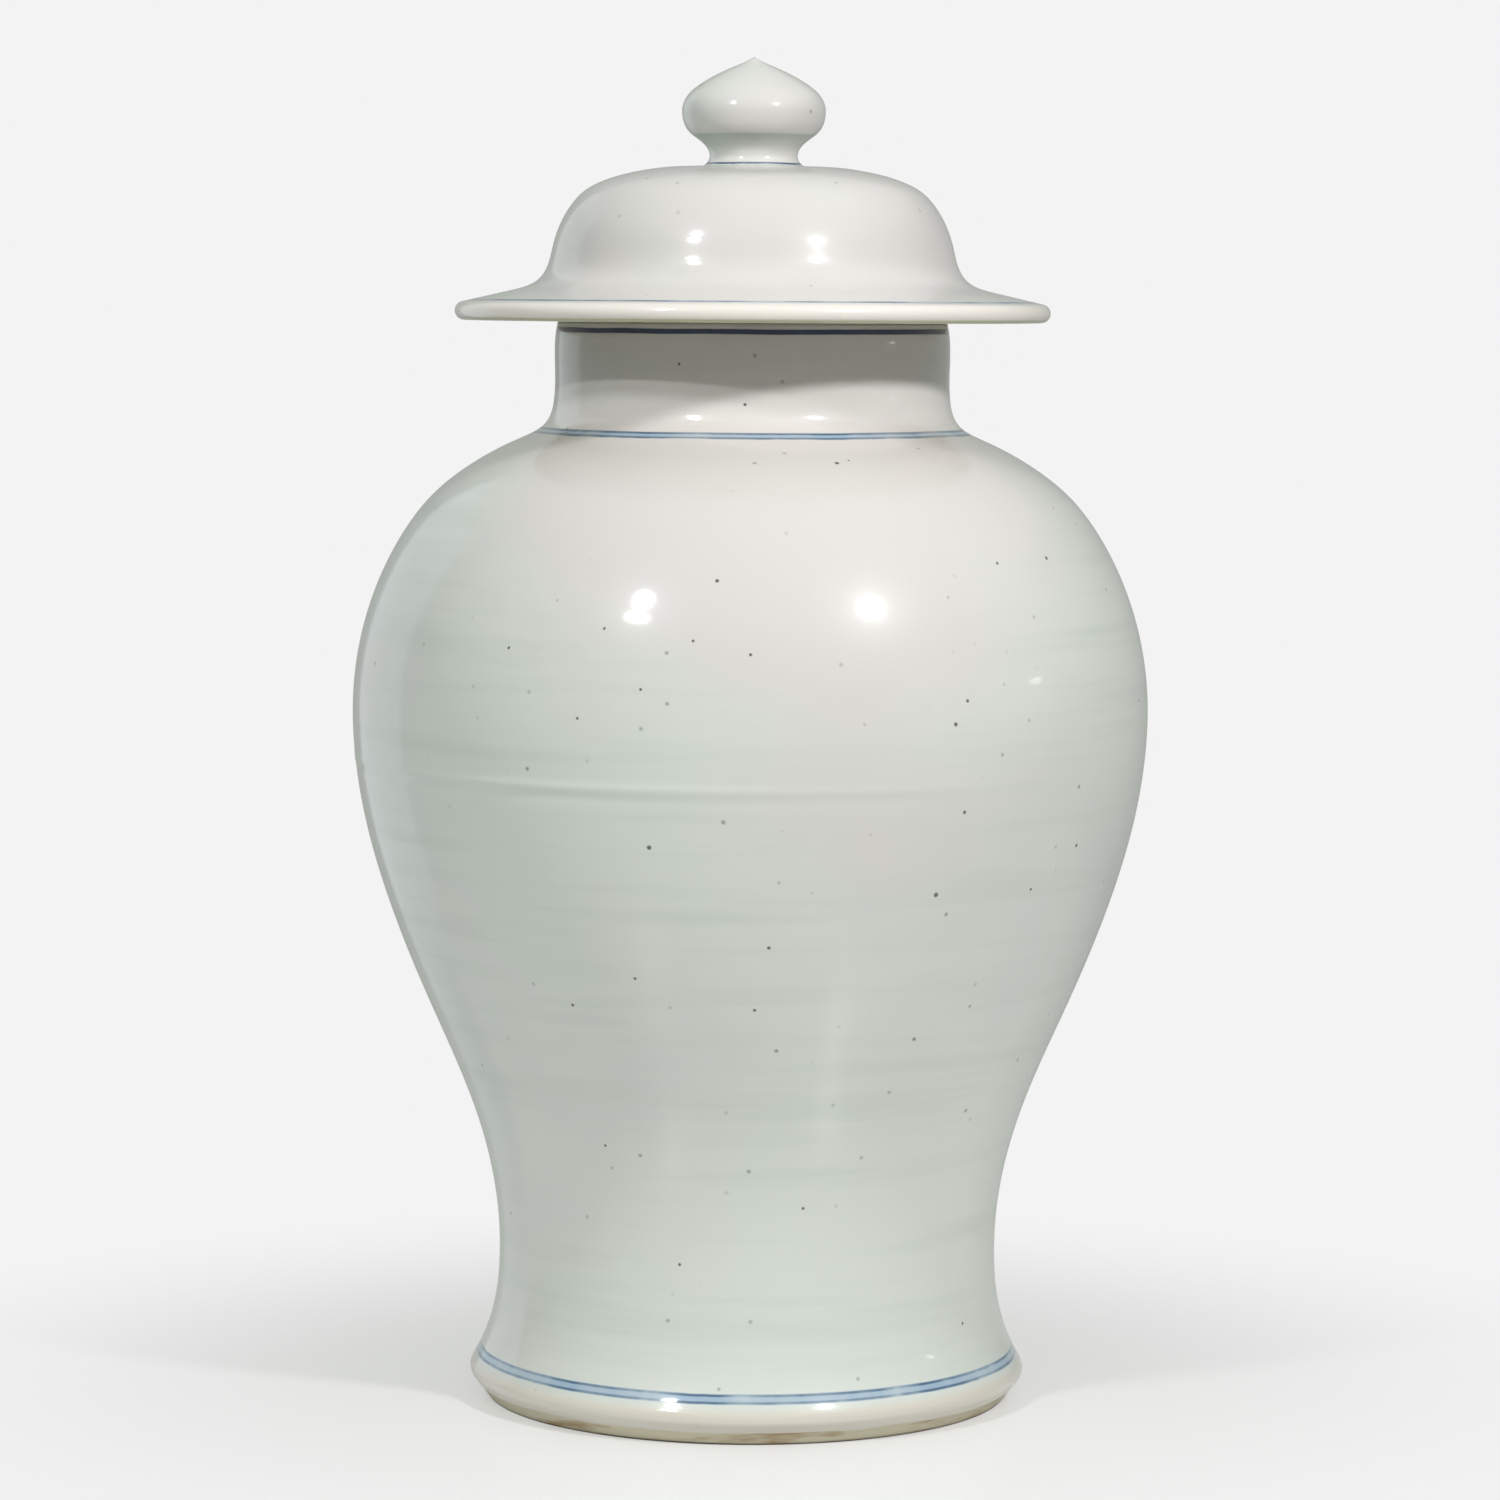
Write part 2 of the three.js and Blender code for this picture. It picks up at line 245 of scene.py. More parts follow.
class GlazeLook(bpy.types.PropertyGroup):
    # Warm white also paints the warm light on the lit upper front.
    warm: colour("Warm white", "Thin glaze over the white body", "D6D3D1")
    cool: colour("Cool white", "Glaze that lies thicker", "D6DCD6")
    # The pooled colour also paints the shade at the top of the neck, under the brim.
    pooled_glaze_and_shade: colour("Pooled glaze", "Glaze at its thickest, where it shows its iron", "C6CFC8")
    # The thin colour also paints the light on the lower neck.
    thin: colour("Thin glaze", "Glaze that ran off the upright neck", "EFEBE8")
    # The deep colour also paints the shadow under the knob's bud.
    deep_glaze_shade: colour("Deep glaze", "Glaze that ran together under the knob", "B6C1B7")
    cream: colour("Cream", "Thin glaze over the brim's edge", "E9E4DD")
    peach: colour("Peach", "Thin glaze above the foot, flushed by the kiln", "DAD2C7")
    celadon: colour("Celadon", "Glaze that gathered in a bead under the brim", "B9BB94")
    cobalt: colour("Cobalt", "Cobalt where the brush was loaded", "546E88")
    cobalt_wash: colour("Cobalt wash", "Cobalt that has spread into the glaze", "9DB6CC")
    navy: colour("Dense cobalt", "Cobalt laid on twice under the lip", "3C4668")
    iron: colour("Burnt iron", "Speck of iron from the clay", "2E2824")
    roughness: share("Roughness", "Roughness under the gloss", 0.3)
    coat_roughness: share("Gloss roughness", "Roughness of the glaze's surface", 0.07)
    # The thin place on the front is also where the warm light is painted.
    thin_lit_bearing: angle("Thin bearing", "Where round the jar the glaze lies thinnest", 9)
    thin_radius: length("Thin radius", "Distance of that place from the axis", 100 * MM)
    thin_height: length("Thin height", "Height of that place", 430 * MM)
    thin_reach: length("Thin reach", "How far round from it the glaze stays thin", 92 * MM)
    thick_reach: length("Thick reach", "How far round from it the glaze is all thick", 155 * MM)
    thin_rise: share("Thin rise", "Reach of the thin glaze round the jar, against up and down", 0.6)
    streak_length: length("Streak length", "Length of a streak round the pot", 170 * MM)
    streak_height: length("Streak height", "Height of a streak", 9 * MM)
    cloud_size: length("Cloud size", "Width of a thicker patch of glaze", 140 * MM)
    brush_load: length("Brush load", "Length over which a brush runs dry", 26 * MM)
    brush_stray: length("Brush stray", "How far a painted line strays", 0.8 * MM)
    brush_edge: length("Brush edge", "Width over which a stroke's edge fades", 0.45 * MM)
    peel_size: length("Peel size", "Width of the faint dimples in the gloss", 3.5 * MM)
    peel_depth: length("Peel depth", "Depth of the dimples", 0.004 * MM)
    ring_spacing: length("Ring spacing", "Spacing of the fine rings that turning leaves", 6 * MM)
    ring_length: length("Ring length", "Length of such a ring before it fades", 500 * MM)
    ring_depth: length("Ring depth", "Depth of those rings", 0.012 * MM)
    fleck_spacing: length("Fleck spacing", "Distance between places where a fleck may be", 11 * MM)
    fleck_size: length("Fleck size", "Width of a faint fleck", 2.4 * MM)
    # The top edge of the deep band is the edge of the bud's painted shadow.
    bud_shade_top: length("Deep top", "Height of the upper edge of the deep glaze", 527.6 * MM)
    bud_shade_edge: length("Deep edge", "Height over which that edge fades", 0.8 * MM)
    bud_shade_fall: length("Deep fall", "Height over which the deep glaze thins downwards", 9 * MM)
    brim_cream: length("Brim cream", "Height of the brim's edge where the glaze is thin", 7.4 * MM)
    foot_cream: length("Foot cream", "Height where the glaze over the foot is thin no more", 15 * MM)
    cream_fade: length("Cream fade", "Height over which thin glaze turns thick", 3 * MM)
    bead_width: length("Bead width", "Width of the bead of glaze under the brim", 1.3 * MM)
    neck_fade: length("Neck fade", "Height over which the neck's glaze thins", 14 * MM)
    # The neck's paler lower part is painted light, and its darker top, from this height up, painted
    # shade.
    neck_thick_and_shaded: length("Neck thick", "Height on the neck where its glaze is thick again", 430 * MM)
    neck_thin_painted_light: share("Neck thinness", "How much of the neck's glaze ran off", 0.7)
    neck_pool_painted_shade: share("Neck pool", "How much glaze gathered under the lip", 0.3)


class BiscuitLook(bpy.types.PropertyGroup):
    clay: colour("Clay", "Bare fired porcelain", "D3CDB6")
    # A darker tone towards the bottom of the foot's edge.
    ochre: colour("Ochre", "Iron that the kiln has drawn to the bare edge", "9C7844")
    bottom_dark: colour("Soot", "Dirt that wear has pressed into the foot's edge", "4E443A")
    roughness: share("Roughness", "Roughness of bare porcelain", 0.75)
    patch_size: length("Patch size", "Width of an ochre patch", 30 * MM)
    patch_height: length("Patch height", "Height of an ochre patch", 6 * MM)
    bottom_dark_height: length("Soot height", "Height up to which dirt has been rubbed in", 1.3 * MM)
    grain_size: length("Grain size", "Width of a grain of the clay", 0.8 * MM)
    grain_depth: length("Grain depth", "Depth of the grain", 0.05 * MM)


class StudioLook(bpy.types.PropertyGroup):
    paper: colour("Paper", "Floor and backdrop as the camera sees them", "F3F3F3")
    floor_tone: colour("Floor tone", "Colour of the floor as light bounces off it", "E4E4E4")
    far_floor: colour("Far floor", "Colour that light meets beyond the table", "101010")
    floor_reach: length("Floor reach", "Half the width of the floor", 6)
    table_reach: length("Table reach", "How far from the jar the floor is fully lit", 0.7)
    table_end: length("Table end", "Where the lit floor ends", 0.95)
    floor_gloss: share("Floor gloss", "Roughness of the floor", 0.27)
    table_start: length("Table start", "Where the mirrored table starts to fade", 0.25)
    shadow_share: share("Shadow share", "How much of the floor's shade shows at the foot", 0.62)
    shadow_start: length("Shadow start", "How far from the jar the shade starts to fade", 0.1)
    shadow_reach: length("Shadow reach", "How far from the jar the last shade shows", 0.45)
    seen_tone: colour("Seen tone", "Colour of the shaded floor as the camera sees it", "F6F6F6")
    room: colour("Room", "Dim room that the gloss mirrors", "A8ABA7")
    panel: colour("Panel", "Pale panel on the left that the gloss mirrors", "E4EAEC")
    panel_azimuth: angle("Panel azimuth", "How far round the panel's middle is", -137)
    panel_width: angle("Panel width", "How wide the panel looks from the jar", 34)
    panel_middle: share("Panel middle", "Sine of the height of the panel's middle", 0.22)
    panel_height: share("Panel height", "Sines that the panel spans", 1.26, 2)
    panel_edge: share("Panel edge", "Softness of the panel's edge in radians", 0.09)
    ceiling: colour("Ceiling", "Pale ceiling that the gloss mirrors", "C8CAC8")
    left_lamp: share("Left lamp", "Light of the left lamp at the jar's middle", 0.62, 20)
    left_lamp_colour: colour("Left lamp colour", "Colour of the left lamp", "FDFEFD")
    left_azimuth: angle("Left azimuth", "How far round the left lamp stands", -35.9)
    left_elevation: angle("Left elevation", "How high the left lamp stands", 38.9)
    left_distance: length("Left distance", "From the left lamp to the jar's middle", 2.2)
    right_lamp: share("Right lamp", "Light of the right lamp at the jar's middle", 1.75, 20)
    right_lamp_colour: colour("Right lamp colour", "Colour of the right lamp", "FFFCFC")
    right_azimuth: angle("Right azimuth", "How far round the right lamp stands", 38)
    right_elevation: angle("Right elevation", "How high the right lamp stands", 35.6)
    right_distance: length("Right distance", "From the right lamp to the jar's middle", 1.4)
    side_lamp: share("Side lamp", "Light of the small side lamp at the jar's middle", 0.007, 20)
    side_lamp_colour: colour("Side lamp colour", "Colour of the small side lamp", "FFFFFF")
    side_azimuth: angle("Side azimuth", "How far round the side lamp stands", 88)
    side_elevation: angle("Side elevation", "How high the side lamp stands", 8)
    side_distance: length("Side distance", "From the side lamp to the jar's middle", 3.0)
    lamp_width: angle("Lamp width", "How wide a lamp looks from the jar", 4.8)
    side_lamp_width: angle("Side lamp width", "How wide the small lamp looks", 5)
    low_share: share("Low share", "Light of the strip under the left lamp, against that lamp", 0.85)
    low_drop: angle("Low drop", "How far the strip hangs under the left lamp", 5.6)
    low_width: angle("Low width", "How wide the strip looks from the jar", 5.8)
    low_height: angle("Low height", "How high the strip looks from the jar", 1.6)
    round_fill: share("Round fill", "Light from all round", 0.26, 10)
    top_fill: share("Top fill", "Further light from overhead", 0.23, 10)
    fill_low: share("Fill low", "Sine of the height where the overhead light starts", 0.45)
    fill_high: share("Fill high", "Sine of the height where the overhead light is full", 0.55)
    fill_colour: colour("Fill colour", "Colour of the light from all round", "F5FBF3")
    camera_distance: length("Camera distance", "From the jar's axis, level", 2172.5 * MM)
    camera_height: length("Camera height", "Above the floor", 463.6 * MM)
    camera_pitch: angle("Camera pitch", "How far it looks down", 5.05)
    camera_roll: angle("Camera roll", "How far it leans", 0.355)
    camera_lens: FloatProperty(name="Lens", description="Focal length in millimetres", default=124.8)


def ends_of(node):
    """How low and how high a solid reaches."""
    return [corner.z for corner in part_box(node)]


def from_axis(place):
    """The level way from the pot's axis to a place."""
    return Vector((place.x, place.y, 0))


def outside_rings(*nodes):
    """The solids' rings that face outwards, as radius and height, from the lowest up."""
    rings = set()
    for node in nodes:
        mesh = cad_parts[node].data
        for face in mesh.polygons:
            if face.normal.y > -FACING_SHARE:
                continue
            for index in face.vertices:
                x, y, z = mesh.vertices[index].co
                if abs(x) < MERGE and y < MERGE:
                    rings.add((round(abs(y), RING_DIGITS), round(z, RING_DIGITS)))
    return sorted(rings, key=lambda ring: ring[1])


def smooth_line(rings, step):
    """A natural cubic spline through the rings, sampled about every step."""
    points = np.array(rings)
    gaps = np.linalg.norm(np.diff(points, axis=0), axis=1)
    count = len(points)
    system = np.eye(count)
    turns = np.zeros_like(points)
    for i in range(1, count - 1):
        before, after = gaps[i - 1], gaps[i]
        system[i, i - 1:i + 2] = before, 2 * (before + after), after
        turns[i] = 6 * ((points[i + 1] - points[i]) / after - (points[i] - points[i - 1]) / before)
    bends = np.linalg.solve(system, turns)
    line = [points[0]]
    for i, gap in enumerate(gaps):
        for along in np.linspace(0, gap, math.ceil(gap / step) + 1)[1:]:
            left, right = gap - along, along
            place = points[i] * left / gap + points[i + 1] * right / gap
            place = place + bends[i] * (left ** 3 / gap - gap * left) / 6
            place = place + bends[i + 1] * (right ** 3 / gap - gap * right) / 6
            line.append(place)
    return np.array(line)


def inset_line(line, wall):
    """The line moved towards the axis, square to itself, by a wall's thickness."""
    ways = np.gradient(line, axis=0)
    ways /= np.linalg.norm(ways, axis=1)[:, None]
    return line + wall * np.column_stack((-ways[:, 1], ways[:, 0]))


def radius_at(line, height):
    return float(np.interp(height, line[:, 1], line[:, 0]))


def stretch(line, low, high, hold):
    """The part of a climbing line between two heights, with a narrow facet at each end."""
    between = [tuple(point) for point in line if low + hold < point[1] < high - hold]
    start = [(radius_at(line, height), height) for height in (low, low + hold)]
    end = [(radius_at(line, height), height) for height in (high - hold, high)]
    return start + between + end


def rounded(centre, radius, start, end, segments):
    """Points along an arc from one angle to another, both in degrees."""
    turns = [math.radians(turn) for turn in np.linspace(start, end, segments + 1)]
    return [
        (centre[0] + radius * math.cos(turn), centre[1] + radius * math.sin(turn))
        for turn in turns
    ]


def jar_line():
    """The jar's outside from the foot to the start of the lip's rounding."""
    shape = bpy.context.scene.potiche_shape
    nodes = ("foot_ring", "base", "lower_body", "upper_body", "neck")
    *seams, top = (round(ends_of(node)[1], RING_DIGITS) for node in nodes)
    lip_start = top - shape.lip_round + MERGE
    rings = [ring for ring in outside_rings(*nodes) if ring[1] not in seams and ring[1] < lip_start]
    return smooth_line(rings, shape.outline_step)


def cover_line():
    """The cover's outside from the top of the brim's edge to the knob's tip."""
    shape = bpy.context.scene.potiche_shape
    low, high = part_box("cover_dome")
    edge_end = high.x - shape.brim_round * (1 - math.sin(shape.brim_slope))
    rings = [
        ring for ring in outside_rings("cover_dome", "cover_knob")
        if ring[0] < edge_end + MERGE and ring[1] > low.z + shape.brim_round
    ]
    crease = min(rings, key=lambda ring: abs(ring[1] - shape.bud_crease))[1]
    below = smooth_line([ring for ring in rings if ring[1] <= crease], shape.outline_step)
    bud = smooth_line([ring for ring in rings if ring[1] >= crease], shape.outline_step)
    return np.vstack((below, bud[1:]))


def spin_profile(profile):
    """Turns a profile of radius and height round the axis into a closed surface."""
    mesh = bmesh.new()
    verts = [mesh.verts.new((radius, 0, height)) for radius, height in profile]
    edges = [mesh.edges.new(pair) for pair in zip(verts, verts[1:])]
    if profile[0][0] > MERGE:
        edges.append(mesh.edges.new((verts[-1], verts[0])))
    bmesh.ops.spin(
        mesh, geom=verts + edges, cent=(0, 0, 0), axis=(0, 0, 1), angle=math.tau,
        steps=bpy.context.scene.potiche_shape.turn_steps, use_merge=True,
    )
    bmesh.ops.remove_doubles(mesh, verts=mesh.verts, dist=MERGE)
    bmesh.ops.recalc_face_normals(mesh, faces=mesh.faces)
    return mesh


def press_by_hand(mesh):
    """Leaves the long shallow hollows of the potter's hand, inwards only, so that nothing grows."""
    shape = bpy.context.scene.potiche_shape
    for vertex in mesh.verts:
        level = from_axis(vertex.co)
        if level.length < shape.hand_press:
            continue
        place = Vector((
            vertex.co.x / shape.hand_reach,
            vertex.co.y / shape.hand_reach,
            vertex.co.z / shape.hand_rise,
        ))
        press = shape.hand_press * (1 + noise.noise(place)) / 2
        vertex.co -= level.normalized() * press


def round_rings(mesh, rounding, corners):
    """Rounds the rings of edges that lie at these corners, each a radius and a height."""
    segments = bpy.context.scene.potiche_shape.edge_segments

    def at_corner(edge):
        return any(
            all(
                abs(from_axis(vertex.co).length - radius) < MERGE
                and abs(vertex.co.z - height) < MERGE
                for vertex in edge.verts
            )
            for radius, height in corners
        )

    bmesh.ops.bevel(
        mesh, geom=[edge for edge in mesh.edges if at_corner(edge)], offset=rounding,
        segments=segments, profile=0.5, affect="EDGES", material=-1,
    )


def add_piece(name, node, mesh, body, materials):
    """Makes the object that stands for a node, smooth but for its corners."""
    data = bpy.data.meshes.new(name)
    mesh.to_mesh(data)
    mesh.free()
    for material in materials:
        data.materials.append(material)
    data.shade_smooth()
    data.set_sharp_from_angle(angle=bpy.context.scene.potiche_shape.corner_angle)
    piece = bpy.data.objects.new(name, data)
    bpy.context.scene.collection.objects.link(piece)
    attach(piece, body)
    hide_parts(node)
    return piece


def add_node(tree, kind, inputs=None, out=0, **settings):
    """Adds a node, fills its inputs with values or with other sockets, and gives one output."""
    node = tree.nodes.new(kind)
    for name, value in settings.items():
        setattr(node, name, value)
    for key, value in (inputs or {}).items():
        if isinstance(value, bpy.types.NodeSocket):
            tree.links.new(value, node.inputs[key])
        else:
            node.inputs[key].default_value = value
    return node.outputs[out] if node.outputs else node


def new_material(name):
    """An empty node tree with the object's coordinates and its height."""
    material = bpy.data.materials.new(name)
    material.use_nodes = True
    tree = material.node_tree
    tree.nodes.clear()
    place = add_node(tree, "ShaderNodeTexCoord", out="Object")
    height = add_node(tree, "ShaderNodeSeparateXYZ", {0: place}, out="Z")
    return material, tree, place, height


def wheel_noise(tree, place, across, up, octaves=GRAIN):
    """Noise drawn out round the pot, as the wheel leaves glaze and brush marks."""
    scale = (1 / across, 1 / across, 1 / up)
    drawn = add_node(tree, "ShaderNodeMapping", {"Vector": place, "Scale": scale})
    look = {"Vector": drawn, "Scale": 1.0, "Detail": octaves, "Roughness": OCTAVE_SHARE}
    return add_node(tree, "ShaderNodeTexNoise", look)


def band(tree, measure, middle, width, soft, most=1.0):
    """The most where a measure lies within a band, fading to 0 over its soft edges."""
    away = add_node(tree, "ShaderNodeMath", {0: measure, 1: middle}, operation="SUBTRACT")
    away = add_node(tree, "ShaderNodeMath", {0: away}, operation="ABSOLUTE")
    edges = {"From Min": (width + soft) / 2, "From Max": max(width - soft, 0) / 2, "To Max": most}
    return add_node(
        tree, "ShaderNodeMapRange", {"Value": away, **edges}, interpolation_type="SMOOTHSTEP",
    )


def kept_where(tree, measure, place, way):
    """A measure that is kept where the surface faces a way, and is 0 where it faces back."""
    normal = place.node.outputs["Normal"]
    turned = {0: normal, 1: way}
    turned = add_node(tree, "ShaderNodeVectorMath", turned, "Value", operation="DOT_PRODUCT")
    faces = add_node(tree, "ShaderNodeMath", {0: turned, 1: 0.0}, operation="GREATER_THAN")
    return add_node(tree, "ShaderNodeMath", {0: measure, 1: faces}, operation="MULTIPLY")


def painted_line(tree, base, place, measure, name):
    """Lays a brushed cobalt line over a colour: a wash that bled out, and the strokes on it."""
    glaze = bpy.context.scene.potiche_glaze
    *sizes, ink, least = PAINTED_LINES[name]
    middle, gap, stroke, wash = (size * MM for size in sizes)
    load = wheel_noise(tree, place, glaze.brush_load, glaze.brush_load)
    strayed = add_node(
        tree, "ShaderNodeMath", {0: load, 1: glaze.brush_stray, 2: measure},
        operation="MULTIPLY_ADD",
    )
    middle += glaze.brush_stray / 2
    spread = band(tree, strayed, middle, wash, glaze.brush_edge)
    dry, wet = BRUSH_SHARES
    loaded = {"Value": load, "From Min": dry, "From Max": wet, "To Max": 1.0}
    wetness = add_node(tree, "ShaderNodeMapRange", {**loaded, "To Min": DRY_WASH_SHARE})
    spread = add_node(tree, "ShaderNodeMath", {0: spread, 1: wetness}, operation="MULTIPLY")
    washed = {MIX_SHARE: spread, MIX_FROM: base, MIX_TO: glaze.cobalt_wash}
    base = add_node(tree, "ShaderNodeMix", washed, MIXED, data_type="RGBA")
    density = add_node(tree, "ShaderNodeMapRange", {**loaded, "To Min": least})
    for side in (-1, 1) if gap else (0,):
        mark = band(tree, strayed, middle + side * gap / 2, stroke, glaze.brush_edge)
        mark = add_node(tree, "ShaderNodeMath", {0: mark, 1: density}, operation="MULTIPLY")
        inked = {MIX_SHARE: mark, MIX_FROM: base, MIX_TO: getattr(glaze, ink)}
        base = add_node(tree, "ShaderNodeMix", inked, MIXED, data_type="RGBA")
    return base


def iron_specks(tree, base, place, line):
    """Lays the larger specks of burnt iron over a colour, each at its own place on the jar."""
    glaze = bpy.context.scene.potiche_glaze
    gone, full = SPECK_EDGE_SHARES
    dark = 0.0
    for bearing, height, width in IRON_SPECKS:
        radius = radius_at(line, height * MM)
        turn = math.radians(bearing)
        centre = (radius * math.sin(turn), -radius * math.cos(turn), height * MM)
        away = add_node(
            tree, "ShaderNodeVectorMath", {0: place, 1: centre}, "Value", operation="DISTANCE",
        )
        edge = {"Value": away, "From Min": width * MM * gone, "From Max": width * MM * full}
        spot = add_node(tree, "ShaderNodeMapRange", {**edge, "To Max": SPECK_SHARE})
        dark = add_node(tree, "ShaderNodeMath", {0: dark, 1: spot}, operation="MAXIMUM")
    specked = {MIX_SHARE: dark, MIX_FROM: base, MIX_TO: glaze.iron}
    return add_node(tree, "ShaderNodeMix", specked, MIXED, data_type="RGBA")


def faint_flecks(tree, base, place):
    """Lays small faint flecks of iron over a colour, in some cells of a cell pattern."""
    glaze = bpy.context.scene.potiche_glaze
    cells = {"Vector": place, "Scale": 1 / glaze.fleck_spacing}
    away = add_node(tree, "ShaderNodeTexVoronoi", cells, "Distance")
    chance = add_node(tree, "ShaderNodeSeparateColor", {0: away.node.outputs["Color"]})
    size = glaze.fleck_size / glaze.fleck_spacing
    gone, full = FLECK_EDGE_SHARES
    edge = {"Value": away, "From Min": size * gone, "From Max": size * full}
    spot = add_node(tree, "ShaderNodeMapRange", edge)
    few = {"Value": chance, "From Min": FLECKED_CELLS_SHARE, "From Max": 0.0}
    chosen = add_node(tree, "ShaderNodeMapRange", {**few, "To Max": FLECK_SHARE})
    spot = add_node(tree, "ShaderNodeMath", {0: spot, 1: chosen}, operation="MULTIPLY")
    flecked = {MIX_SHARE: spot, MIX_FROM: base, MIX_TO: glaze.iron}
    return add_node(tree, "ShaderNodeMix", flecked, MIXED, data_type="RGBA")


def gloss_bump(tree, place):
    """Turning rings and the faint dimples of a melted surface."""
    glaze = bpy.context.scene.potiche_glaze
    rings = wheel_noise(tree, place, glaze.ring_length, glaze.ring_spacing, SWELL)
    turned = {"Height": rings, "Strength": 1.0, "Distance": glaze.ring_depth}
    bump = add_node(tree, "ShaderNodeBump", turned)
    peel = {"Vector": place, "Scale": 1 / glaze.peel_size, "Detail": SWELL}
    dimples = add_node(tree, "ShaderNodeTexNoise", peel)
    melted = {"Height": dimples, "Strength": 1.0, "Distance": glaze.peel_depth, "Normal": bump}
    return add_node(tree, "ShaderNodeBump", melted)


def glaze_body(tree, place):
    """The glaze's colour: warm where it lies thin high on the lit front, a painted warm light, and
    greener away from it.
    """
    glaze = bpy.context.scene.potiche_glaze
    clouds = wheel_noise(tree, place, glaze.cloud_size, glaze.cloud_size, CLOUDS)
    # The thin place faces the lamps, so its warmth is partly painted light and the greener glaze
    # away from it partly painted shade.
    level = facing(glaze.thin_lit_bearing, 0.0) * glaze.thin_radius
    thinnest = level + Vector((0, 0, glaze.thin_height * glaze.thin_rise))
    lowered = {0: place, 1: (1, 1, glaze.thin_rise)}
    lowered = add_node(tree, "ShaderNodeVectorMath", lowered, operation="MULTIPLY")
    away = {0: lowered, 1: thinnest}
    away = add_node(tree, "ShaderNodeVectorMath", away, "Value", operation="DISTANCE")
    lost, gained = THINNING_SHARES
    lit_front_falloff = {"Value": away, "From Min": glaze.thin_reach, "From Max": glaze.thick_reach}
    run = add_node(tree, "ShaderNodeMapRange", {**lit_front_falloff, "To Min": lost, "To Max": gained})
    thickness = add_node(tree, "ShaderNodeMath", {0: clouds, 1: run}, operation="ADD")
    start, full = COOL_SHARES
    cooled_and_shaded = {"Value": thickness, "From Min": start, "From Max": full}
    cooled_and_shaded = add_node(tree, "ShaderNodeMapRange", cooled_and_shaded)
    base = {MIX_SHARE: cooled_and_shaded, MIX_FROM: glaze.warm, MIX_TO: glaze.cool}
    base = add_node(tree, "ShaderNodeMix", base, MIXED, data_type="RGBA")
    streaks = wheel_noise(tree, place, glaze.streak_length, glaze.streak_height)
    start, full = STREAK_SHARES
    drawn = {"Value": streaks, "From Min": start, "From Max": full, "To Max": STREAK_SHARE}
    drawn = add_node(tree, "ShaderNodeMapRange", drawn)
    drawn = add_node(tree, "ShaderNodeMath", {0: drawn, 1: cooled_and_shaded}, operation="MULTIPLY")
    streaked = {MIX_SHARE: drawn, MIX_FROM: base, MIX_TO: glaze.pooled_glaze_and_shade}
    return add_node(tree, "ShaderNodeMix", streaked, MIXED, data_type="RGBA")


# Lime-alkaline glaze melted clear over white porcelain: a deep wet gloss over a body that turns
# from warm white to a faint green where the glaze lies thicker; the warmth on the lit front is
# partly painted light, and the green away from it partly painted shade.
def glazed(material, tree, place, base):
    glaze = bpy.context.scene.potiche_glaze
    look = {
        "Base Color": faint_flecks(tree, base, place),
        "Roughness": glaze.roughness,
        "IOR": GLAZE_IOR,
        "Specular IOR Level": BODY_MIRROR_SHARE,
        "Coat Weight": 1.0,
        "Coat IOR": GLAZE_IOR,
        "Coat Roughness": glaze.coat_roughness,
        "Normal": gloss_bump(tree, place),
    }
    surface = add_node(tree, "ShaderNodeBsdfPrincipled", look)
    add_node(tree, "ShaderNodeOutputMaterial", {"Surface": surface})
    return material


# The jar's glaze is thin and creamy just above the bare foot. The neck is paler low down, as glaze
# that ran off and as painted light where the lamps reach it, and darker and greener at its top, as
# glaze that gathered under the lip and as painted shade under the brim. It has three painted
# borders and shows the iron specks of the clay.
def jar_glaze():
    found = bpy.data.materials.get("jar_glaze")
    if found:
        return found
    glaze = bpy.context.scene.potiche_glaze
    material, tree, place, height = new_material("jar_glaze")
    base = glaze_body(tree, place)
    flushed = band(tree, height, 0.0, 2 * glaze.foot_cream, glaze.cream_fade, PEACH_SHARE)
    # Painted light and shade on the neck: paler where the lamps reach its lower part, darker and
    # greener at its top, in the brim's shadow.
    neck_low = ends_of("neck")[0] + glaze.neck_fade / 2
    middle = (neck_low + glaze.neck_thick_and_shaded) / 2
    width = glaze.neck_thick_and_shaded - neck_low
    drained_painted_light = band(tree, height, middle, width, glaze.neck_fade, glaze.neck_thin_painted_light)
    climb = {"Value": height, "From Min": neck_low, "From Max": glaze.neck_thick_and_shaded}
    gathered = add_node(tree, "ShaderNodeMapRange", {**climb, "To Max": glaze.neck_pool_painted_shade})
    coats = ((flushed, glaze.peach), (drained_painted_light, glaze.thin), (gathered, glaze.pooled_glaze_and_shade))
    for cover, coat in coats:
        laid = {MIX_SHARE: cover, MIX_FROM: base, MIX_TO: coat}
        base = add_node(tree, "ShaderNodeMix", laid, MIXED, data_type="RGBA")
    level = add_node(tree, "ShaderNodeVectorMath", {0: place, 1: (1, 1, 0)}, operation="MULTIPLY")
    outside = kept_where(tree, height, place, level)
    for name in ("foot", "root", "lip"):
        base = painted_line(tree, base, place, outside, name)
    base = iron_specks(tree, base, place, jar_line())
    return glazed(material, tree, place, base)


